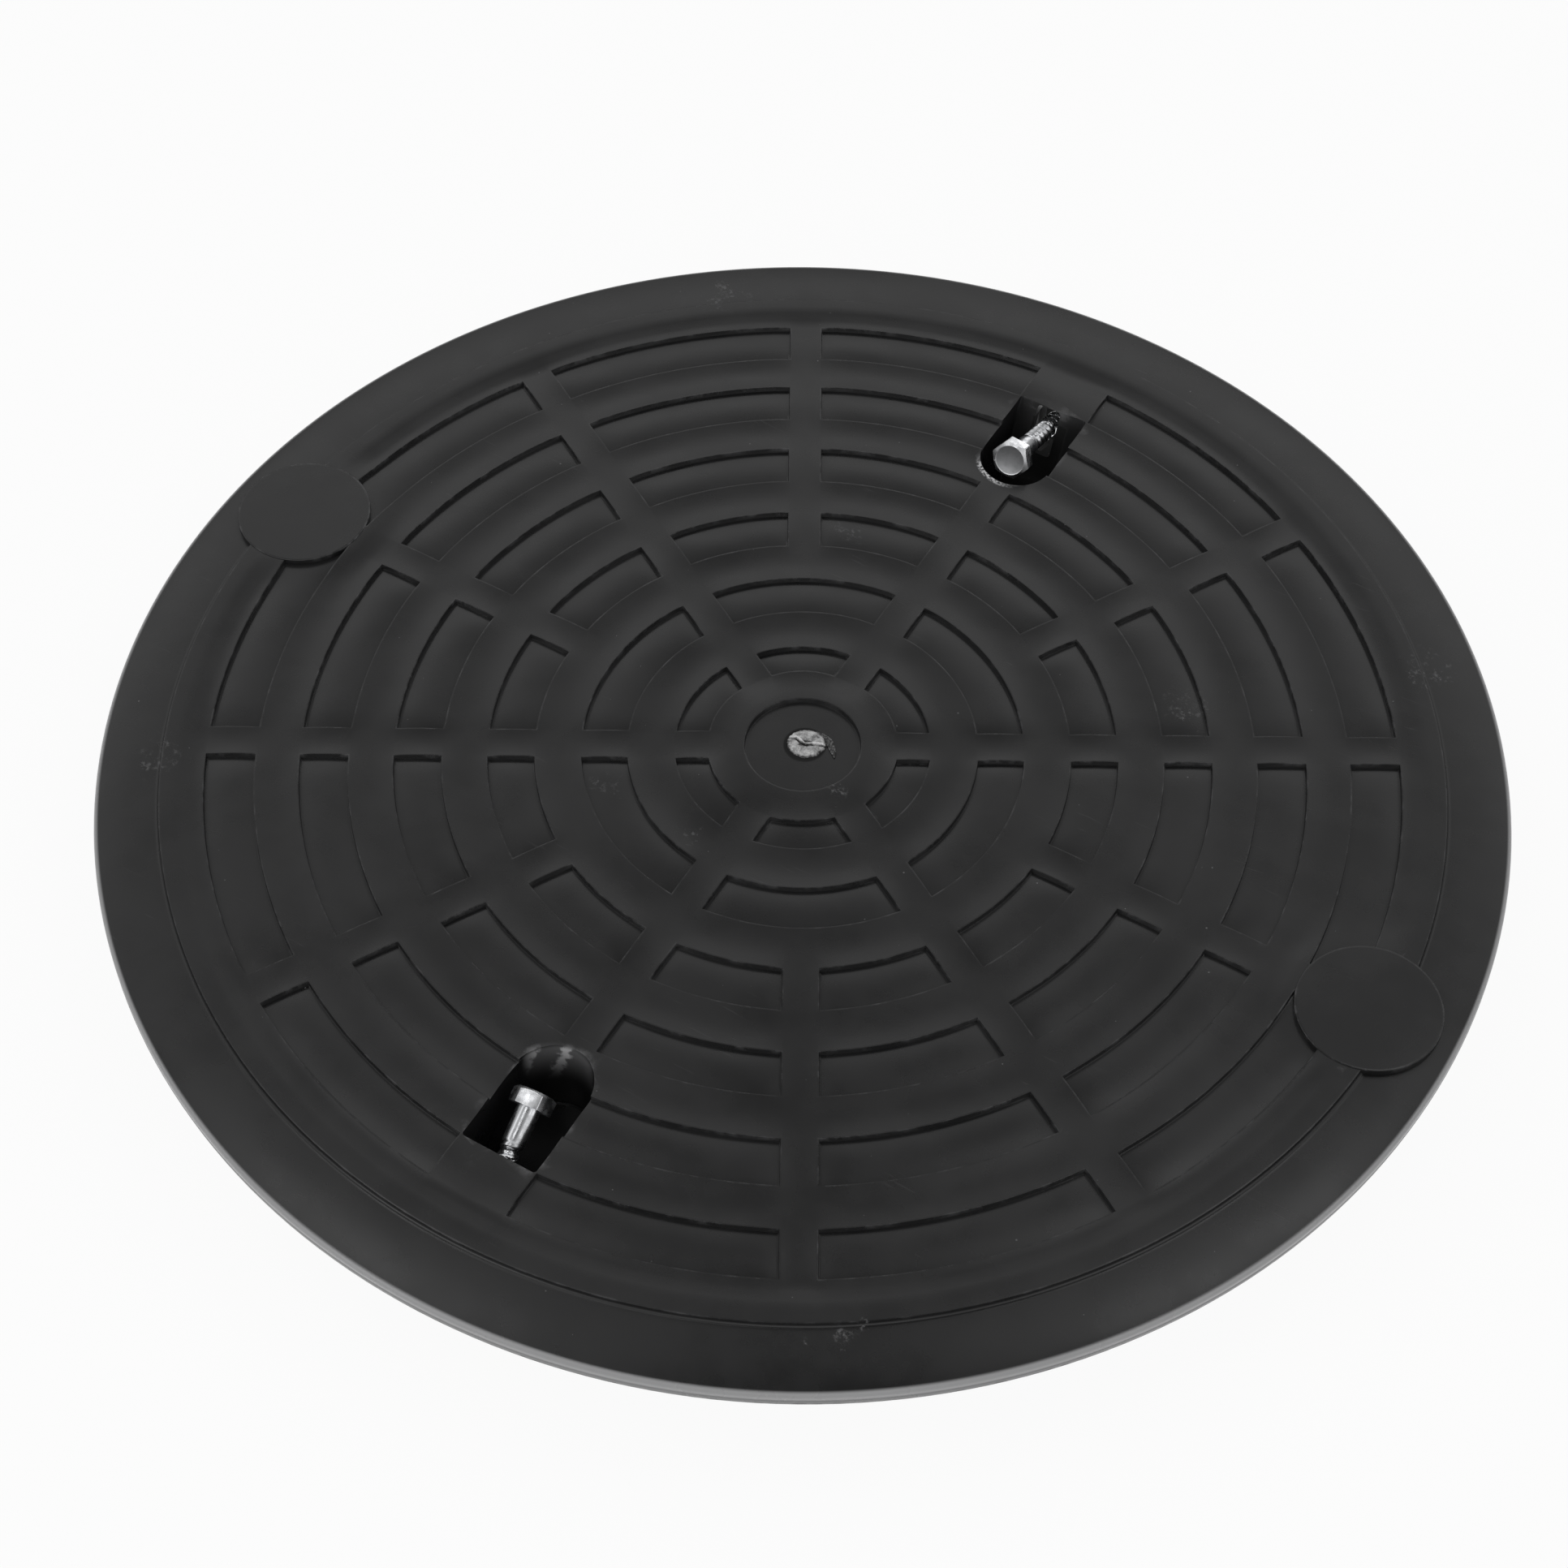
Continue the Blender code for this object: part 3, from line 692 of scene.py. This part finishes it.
additions = []
for side in (-1, 1):
    bm = bmesh.new()
    low, high = floorHeight - cover["relief"], plateau + cover["plateRise"]
    bmesh.ops.create_cone(bm, cap_ends=True, segments=96, radius1=cover["plateRadius"],
                          radius2=cover["plateRadius"], depth=high - low,
                          matrix=Matrix.Translation((side * cover["plateAt"], 0, (low + high) / 2)))
    rim = [edge for edge in bm.edges if all(vert.co.z > high - 0.0001 for vert in edge.verts)]
    roundOff(bm, rim, 0.0003, 2)
    cap = [face for face in bm.faces if len(face.verts) > 8 and face.normal.z > 0.5]
    bmesh.ops.inset_region(bm, faces=cap, use_boundary=True, use_even_offset=True, thickness=0.0006)
    additions.append(newObject("plate", bm))
    wall = pocket["wall"]
    additions.append(pocketSolid("pocketWalls", side, [(pocket["floor"] - wall, wall),
                                                       (plateau - 0.003, wall)]))
cutWith(coverSkin, joined("additions", additions), "UNION")
mouth = pocket["mouthRound"]
flare = [(plateau - mouth + mouth * sin(turn), mouth * (1 - cos(turn)))
         for turn in (radians(step) for step in range(15, 91, 15))]
levels = [(pocket["floor"], -0.0006), (pocket["floor"] + 0.0006, 0.0)]
levels += [(plateau - pocket["rollDepth"] + (pocket["rollDepth"] - mouth) * i / 8, 0.0) for i in range(9)]
levels += flare + [(plateau + 0.004, mouth)]


def rolledBy(height):
    # how far the near pocket's inner end leans back at a height
    share = min(max((height - plateau) / pocket["rollDepth"] + 1, 0.0), 1.0)
    return pocket["roll"] * (1 - sqrt(1 - share ** 2)) + max(0.0, height - plateau) * 2


cavities = [pocketSolid("cavity", 1, levels),
            pocketSolid("cavity", -1, [(height, grow, rolledBy(height)) for height, grow in levels])]
cutWith(coverSkin, joined("cavities", cavities), "DIFFERENCE")

# lock screws and the slots that they pass through
screw = {
    "shank": 0.0078,
    "core": 0.0054,
    "crest": 0.0074,
    "pitch": 0.0036,
    "length": 0.0500,
    "smooth": 0.0135,
    "point": 0.0080,
    "flats": 0.0130,
    "headHeight": 0.0055,
    "faceRatio": 0.87,
    "chamfer": radians(30),
    "slotWidth": 0.0094,
    "slotTop": 0.0014,
    "slotLength": 0.0190,
    "slotCorner": 0.0014,
    "neck": 0.002,                # how far the shank runs into the head
    "sunkFace": 0.00012,
}
# node, body, side, offset of the slot, length outside the ramp, drop, lean and turn of the head
screws = [
    ("lock_screw_far", "far_screw", 1, 0.0015, 0.0354, 0.0104, radians(2.2), radians(37)),
    ("lock_screw_near", "near_screw", -1, -0.0003, 0.0228, 0.0123, radians(4.6), radians(25)),
]
rampDown = Vector((0, -cos(pocket["ramp"]), -sin(pocket["ramp"])))
rampOut = Vector((0, sin(pocket["ramp"]), -cos(pocket["ramp"])))
rampTop = Vector((0, pocket["outerEdge"], plateau))
halfTurn = Matrix.Rotation(pi, 4, "Z")


def slotBar(side, offset):
    foot = rampTop + rampDown * (screw["slotTop"] + screw["slotLength"])
    reachIn, reachOut = pocket["wall"], (cover["collarRadius"] + 0.004 - foot.y) / rampOut.y
    bm = bmesh.new()
    bmesh.ops.create_cube(bm, size=1.0, matrix=Matrix.Diagonal(
        (screw["slotWidth"], screw["slotLength"], reachIn + reachOut, 1.0)))
    roundOff(bm, uprights(bm), screw["slotCorner"], 6)
    across = Vector((-1, 0, 0))
    turn = Matrix((across, rampDown, rampOut)).transposed().to_4x4()
    middle = rampTop + rampDown * (screw["slotTop"] + screw["slotLength"] / 2)
    middle += rampOut * (reachOut - reachIn) / 2 + across * offset
    place = Matrix.Translation(middle) @ turn
    bmesh.ops.transform(bm, matrix=halfTurn @ place if side < 0 else place, verts=bm.verts)
    bmesh.ops.recalc_face_normals(bm, faces=bm.faces)
    return newObject("slot", bm)


slots = [slotBar(side, offset) for _, _, side, offset, *_ in screws]
cutWith(coverSkin, joined("slots", slots), "DIFFERENCE")
print("pockets and slots cut:", len(coverSkin.data.polygons), "faces")


def finishSkin(obj, material, sharp, keepAll=False):
    # corners get an attribute for wear, and smooth shading stops at the sharp ones
    bm = bmesh.new()
    bm.from_mesh(obj.data)
    layer = bm.verts.layers.float.get("edgeWear") or bm.verts.layers.float.new("edgeWear")
    for vert in bm.verts:
        bend = max((edge.calc_face_angle_signed(0.0) for edge in vert.link_edges), default=0.0)
        shown = vert.co.z > 0.0365 or vert.co.xy.length > 0.238 or keepAll
        vert[layer] = smoothStep(radians(12), radians(30), bend) if shown else 0.0
    bm.to_mesh(obj.data)
    bm.free()
    obj.data.materials.clear()
    obj.data.materials.append(material)
    obj.data.shade_smooth()
    obj.data.set_sharp_from_angle(angle=radians(sharp))


finishSkin(coverSkin, plasticLook, 40)
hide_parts("cover")
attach(coverSkin, "cover")
print("cover finished")


def screwShank(bm):
    # smooth neck, then a rounded coarse thread that runs out into a gimlet point
    start, smoothEnd = -screw["neck"], screw["smooth"] - 0.002
    rows = [start] + between(start, smoothEnd, 0.002) + between(smoothEnd, screw["length"], 0.0003)
    chain = [bm.verts.new((0, 0, start))]
    chain += [bm.verts.new((screw["shank"] / 2, 0, height)) for height in rows]
    chain.append(bm.verts.new((0, 0, screw["length"] + 0.0002)))
    turnChain(bm, chain, 40)
    for vert in bm.verts:
        height = vert.co.z
        radius = vert.co.xy.length
        if height < screw["smooth"] - 0.003 or radius < 0.0005:
            continue
        phase = (height / screw["pitch"] - atan2(vert.co.y, vert.co.x) / (2 * pi)) % 1.0
        crown = (0.5 + 0.5 * cos(2 * pi * phase)) ** 1.6
        started = smoothStep(smoothEnd, screw["smooth"] + 0.001, height)
        taper = 1 - smoothStep(screw["length"] - screw["point"], screw["length"] + 0.001, height)
        threaded = (screw["core"] + (screw["crest"] - screw["core"]) * crown) / 2 * (0.08 + 0.92 * taper)
        wanted = screw["shank"] / 2 * (1 - started) + threaded * started
        vert.co.x *= wanted / radius
        vert.co.y *= wanted / radius


def screwHead(name):
    corner = screw["flats"] / 2 / cos(pi / 6)
    face = screw["flats"] / 2 * screw["faceRatio"]
    blank = corner + 0.0008
    top = -screw["headHeight"]
    bm = bmesh.new()
    chamferEnd = top + (blank - face) * tan(screw["chamfer"])
    profile = [(0, top), (face, top), (blank, chamferEnd), (blank, 0.004), (0, 0.004)]
    chain = [bm.verts.new((x, 0, z)) for x, z in profile]
    turnChain(bm, chain, 96)
    blankObject = newObject("headBlank", bm)
    bm = bmesh.new()
    bmesh.ops.create_cone(bm, cap_ends=True, segments=6, radius1=corner, radius2=corner,
                          depth=2 * screw["headHeight"], matrix=Matrix.Translation((0, 0, top)))
    roundOff(bm, uprights(bm), 0.0003, 2)
    bmesh.ops.recalc_face_normals(bm, faces=bm.faces)
    head = newObject(name, bm)
    cutWith(head, blankObject, "INTERSECT")
    return head


for node, body, side, offset, exposed, drop, lean, turn in screws:
    bm = bmesh.new()
    screwShank(bm)
    bmesh.ops.recalc_face_normals(bm, faces=bm.faces)
    shank = newObject("shank", bm)
    piece = screwHead("coachScrewFar" if side > 0 else "coachScrewNear")
    cutWith(piece, shank, "UNION")
    bm = bmesh.new()
    bm.from_mesh(piece.data)
    layer = bm.verts.layers.float.new("headFace")
    cap = [face for face in bm.faces
           if face.normal.z < -0.99 and face.calc_center_median().z < -screw["headHeight"] / 2]
    bmesh.ops.inset_region(bm, faces=cap, use_boundary=True, use_even_offset=True, thickness=0.0004,
                           depth=-screw["sunkFace"])
    for vert in {vert for face in cap for vert in face.verts}:
        vert[layer] = 1.0
    bm.to_mesh(piece.data)
    bm.free()
    outward = rampOut * cos(lean) + Vector((-sin(lean), 0, 0))
    crossing = rampTop + rampDown * drop + Vector((-offset, 0, 0))
    wallDepth = (cover["collarRadius"] - crossing.y) / rampOut.y
    pivot = crossing + rampOut * wallDepth / 2
    seat = pivot - outward * (wallDepth / 2 + exposed - screw["headHeight"])
    across = outward.cross(Vector((0, 0, 1))).normalized()
    stand = Matrix((across, outward.cross(across), outward)).transposed().to_4x4()
    place = Matrix.Translation(seat) @ stand @ Matrix.Rotation(turn, 4, "Z")
    piece.data.transform(halfTurn @ place if side < 0 else place)
    finishSkin(piece, steelLook, 30, True)
    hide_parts(node)
    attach(piece, body)
print("screws placed")

# the torn stub of the moulding gate in the middle: a pitted lump with a standing crest, and a curled flake
gate = {
    "at": (0.0003, 0.0018),
    "half": (0.0067, 0.0060),
    "height": 0.0012,
    "pit": 0.0011,
    "crest": [(-0.85, 0.50), (-0.45, 0.38), (-0.10, 0.02), (0.30, -0.02), (0.96, -0.10)],
    "flake": ((0.0005, 0.0080), (0.0080, 0.0070), (0.0118, 0.0012)),
    "flakeWidth": 0.0012,
    "dark": (0.012, 0.012, 0.012, 1.0),
    "pale": (0.82, 0.82, 0.82, 1.0),
}


def fromLine(point, line):
    # signed distance to a bent line, positive on its left
    best = 9.0
    for first, second in zip(line, line[1:]):
        start, along = Vector(first), Vector(second) - Vector(first)
        share = min(max((point - start).dot(along) / along.length_squared, 0.0), 1.0)
        gap = point - start - along * share
        if gap.length < abs(best):
            best = gap.length * (1 if along.cross(gap) > 0 else -1)
    return best


def lumps(point, layer, scale):
    return noise.noise(Vector((point.x, point.y, layer)) * scale)


def tornMaterial():
    mat = bpy.data.materials.new("tornPlastic")
    tree = nodeTree(mat)
    place = addNode(tree, "TexCoord").outputs["Object"]
    tone = addNode(tree, "Attribute", attribute_name="paleness").outputs["Fac"]
    fleck = noiseOf(tree, place, 1300.0, 4.0, 0.7)
    mottled = calc(tree, "ADD", tone, remap(tree, fleck, 0.3, 0.7, -0.20, 0.20), clamp=True)
    finishMaterial(tree, mixColour(tree, mottled, gate["dark"], gate["pale"]), 0.42, fleck, 0.0002, 0.8)
    return mat


bm = bmesh.new()
paleness = bm.verts.layers.float.new("paleness")
turnChain(bm, [bm.verts.new((i / 36, 0, 0)) for i in range(37)], 120)
for vert in bm.verts:
    spotOn = Vector((vert.co.x, vert.co.y))
    reach = spotOn.length
    ragged = 1 + 0.06 * lumps(spotOn, 0, 2.6) + 0.03 * lumps(spotOn, 5, 9)
    crest = fromLine(spotOn, gate["crest"])
    ridge = exp(-(crest / 0.055) ** 2)
    slit = exp(-((crest + 0.13) / 0.06) ** 2)
    pit = exp(-(reach / 0.30) ** 2)
    height = gate["height"] * sqrt(max(0.0, 1 - reach ** 5)) + 0.00025 * lumps(spotOn, 1, 5)
    height += (0.0005 * ridge - 0.0006 * slit) * (1 - reach ** 8) - gate["pit"] * pit * 0.8
    # paleness: a random tone and a pale crest, with painted shade: darker along the slit, in the central pit
    # and round the lump's foot
    pale = 0.52 + 0.36 * lumps(spotOn, 7, 3.5) + 0.9 * ridge - 0.40 * slit
    pale -= 0.62 * exp(-(reach / 0.36) ** 2) + 0.45 * smoothStep(0.86, 1.0, reach)
    vert[paleness] = min(1.0, max(0.0, pale))
    halfLong, halfWide = gate["half"]
    vert.co = Vector((spotOn.x * halfLong * ragged, spotOn.y * halfWide * ragged, height - 0.0001))
bmesh.ops.recalc_face_normals(bm, faces=bm.faces)
if sum(face.normal.z for face in bm.faces) < 0:
    bmesh.ops.reverse_faces(bm, faces=bm.faces)
seat = Matrix.Translation((*gate["at"], floorHeight)) @ Matrix.Rotation(photoTurn, 4, "Z")
bmesh.ops.transform(bm, matrix=seat, verts=bm.verts)
stub = newObject("gateStub", bm)
tornLook = tornMaterial()
stub.data.materials.append(tornLook)
stub.data.shade_smooth()
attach(stub, "cover")

bm = bmesh.new()
paleness = bm.verts.layers.float.new("paleness")
bmesh.ops.create_grid(bm, x_segments=28, y_segments=4, size=1.0)
start, middle, end = (Vector(point) for point in gate["flake"])
for vert in bm.verts:
    along, across = (vert.co.x + 1) / 2, vert.co.y
    spine = start * (1 - along) ** 2 + middle * 2 * along * (1 - along) + end * along ** 2
    facing = ((middle - start) * (1 - along) + (end - middle) * along).normalized()
    width = gate["flakeWidth"] * sqrt(max(0.0, sin(pi * along)))
    width *= 1 + 0.25 * noise.noise(Vector((along * 9, 2, 0)))
    spotOn = spine + Vector((-facing.y, facing.x)) * across * width
    lift = 0.0003 + 0.0010 * sin(pi * along) ** 2 * (0.55 + 0.45 * across) + 0.0002 * (1 - across ** 2)
    vert[paleness] = 0.01 + 0.07 * across ** 2
    vert.co = Vector((spotOn.x, spotOn.y, floorHeight + lift))
flake = newObject("gateFlake", bm)
thick = flake.modifiers.new("thickness", "SOLIDIFY")
thick.thickness = 0.00025
flake.data.materials.append(tornLook)
flake.data.shade_smooth()
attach(flake, "cover")

# floor, backdrop and lamps
studio = {
    "white": 0.98,                # backdrop as the camera sees it
    "paper": 0.94,                # share of the floor that glows
    "shadeAt": (-0.0045, 0.0078, 0.0),
    "shade": (0.2195, 0.2275),    # where the dark floor under the cover ends
    "below": 1.8,                 # light on the underside, which the floor keeps off everything else
    "edges": (0.34, 0.04),        # sky at the horizon and straight up, then the levels in between
    "sky": [(0.50, 0.42), (0.68, 1.35), (0.76, 0.48), (0.82, 0.42), (0.87, 0.26), (0.91, 0.10), (0.95, 0.04)],
}


def floorMaterial():
    # white paper that glows for the camera, dark where the cover keeps light off it, and clear from below
    mat = bpy.data.materials.new("paperFloor")
    tree = nodeTree(mat)
    path = addNode(tree, "LightPath").outputs
    place = addNode(tree, "TexCoord").outputs["Object"]
    outside = remap(tree, distanceTo(tree, place, studio["shadeAt"]), *studio["shade"])
    seen = calc(tree, "MAXIMUM", path["Is Camera Ray"],
                calc(tree, "MAXIMUM", path["Is Glossy Ray"], path["Is Transmission Ray"]))
    glowing = product(tree, seen, outside, studio["paper"])
    colour = mixColour(tree, outside, (0.05, 0.05, 0.05, 1.0), (0.8, 0.8, 0.8, 1.0))
    paper = addNode(tree, "BsdfDiffuse", {"Color": colour})
    glow = addNode(tree, "Emission", {"Color": (1.0, 1.0, 1.0, 1.0), "Strength": 1.0})
    mixed = addNode(tree, "MixShader", {0: glowing, 1: paper.outputs[0], 2: glow.outputs[0]})
    under = product(tree, calc(tree, "SUBTRACT", 1.0, outside),
                    calc(tree, "SUBTRACT", 1.0, path["Is Camera Ray"]))
    clear = calc(tree, "MAXIMUM", under, addNode(tree, "NewGeometry").outputs["Backfacing"])
    nothing = addNode(tree, "BsdfTransparent")
    final = addNode(tree, "MixShader", {0: clear, 1: mixed.outputs[0], 2: nothing.outputs[0]})
    addNode(tree, "OutputMaterial", {"Surface": final.outputs[0]})
    return mat


bm = bmesh.new()
bmesh.ops.create_circle(bm, cap_ends=True, segments=96, radius=6.0)
paperFloor = newObject("paperFloor", bm)
paperFloor.data.materials.append(floorMaterial())

world = bpy.data.worlds.new("studio")
bpy.context.scene.world = world
tree = nodeTree(world)
direction = addNode(tree, "TexCoord").outputs["Generated"]
upward = addNode(tree, "SeparateXYZ", {0: direction}).outputs[2]
ramp = addNode(tree, "ValToRGB", {0: upward})
stops = ramp.color_ramp.elements
for element, level in zip(stops, studio["edges"]):
    element.color = (level, level, level, 1.0)
for position, level in studio["sky"]:
    stops.new(position).color = (level, level, level, 1.0)
fromBelow = (studio["below"], studio["below"], studio["below"], 1.0)
allRound = mixColour(tree, remap(tree, upward, -0.02, -0.20), ramp.outputs[0], fromBelow)
room = addNode(tree, "Background", {"Color": allRound, "Strength": 1.0})
backdrop = (studio["white"], studio["white"], studio["white"], 1.0)
white = addNode(tree, "Background", {"Color": backdrop, "Strength": 1.0})
cameraRay = addNode(tree, "LightPath").outputs["Is Camera Ray"]
mixed = addNode(tree, "MixShader", {0: cameraRay, 1: room.outputs[0], 2: white.outputs[0]})
addNode(tree, "OutputWorld", {"Surface": mixed.outputs[0]})

# name, azimuth as the photograph shows it (90 is away from the camera), elevation, distance, width,
# height and watts
lamps = [
    ("highLeft", 135, 71, 1.6, 0.5, 0.4, 0.35),
    ("highRight", 45, 71, 1.6, 0.5, 0.4, 0.45),
    ("sideLeft", 155, 66, 1.6, 0.4, 0.4, 0.8),
    ("sideRight", 25, 66, 1.6, 0.4, 0.4, 0.8),
    ("headLight", 223, 70, 1.6, 0.5, 0.5, 1.4),
    ("horizon", 71, 7, 1.8, 0.7, 0.3, 1.0),
    ("frontLeft", 222, 18, 1.8, 1.0, 0.7, 3.0),
    ("front", 270, 18, 1.8, 1.0, 0.7, 1.2),
    ("frontRight", 318, 18, 1.8, 1.0, 0.7, 1.6),
]
for name, azimuth, elevation, distance, width, height, watts in lamps:
    lamp = bpy.data.lights.new(name, "AREA")
    lamp.shape = "RECTANGLE"
    lamp.size = width
    lamp.size_y = height
    lamp.energy = watts
    obj = bpy.data.objects.new(name, lamp)
    turn = radians(azimuth) + photoTurn
    lift = radians(elevation)
    toward = Vector((cos(turn) * cos(lift), sin(turn) * cos(lift), sin(lift)))
    obj.location = toward * distance + Vector((0, 0, plateau))
    obj.rotation_euler = (-toward).to_track_quat("-Z", "Y").to_euler()
    bpy.context.scene.collection.objects.link(obj)

camera = {"lens": 67.70, "location": (0.30896, -0.54003, 0.83454), "aim": (-0.30616, 0.52268, -0.79566),
          "roll": radians(0.275)}
lens = bpy.data.cameras.new("photoCamera")
lens.lens = camera["lens"]
lens.sensor_width = 36.0
lens.clip_start = 0.01
lens.clip_end = 50.0
photoCamera = bpy.data.objects.new("photoCamera", lens)
photoCamera.location = camera["location"]
facing = Vector(camera["aim"]).to_track_quat("-Z", "Y").to_matrix()
photoCamera.rotation_euler = (facing @ Matrix.Rotation(camera["roll"], 3, "Z")).to_euler()
bpy.context.scene.collection.objects.link(photoCamera)
bpy.context.scene.camera = photoCamera
bpy.context.scene.view_settings.view_transform = "Standard"
print("camera and light ready")

bpy.context.view_layer.update()
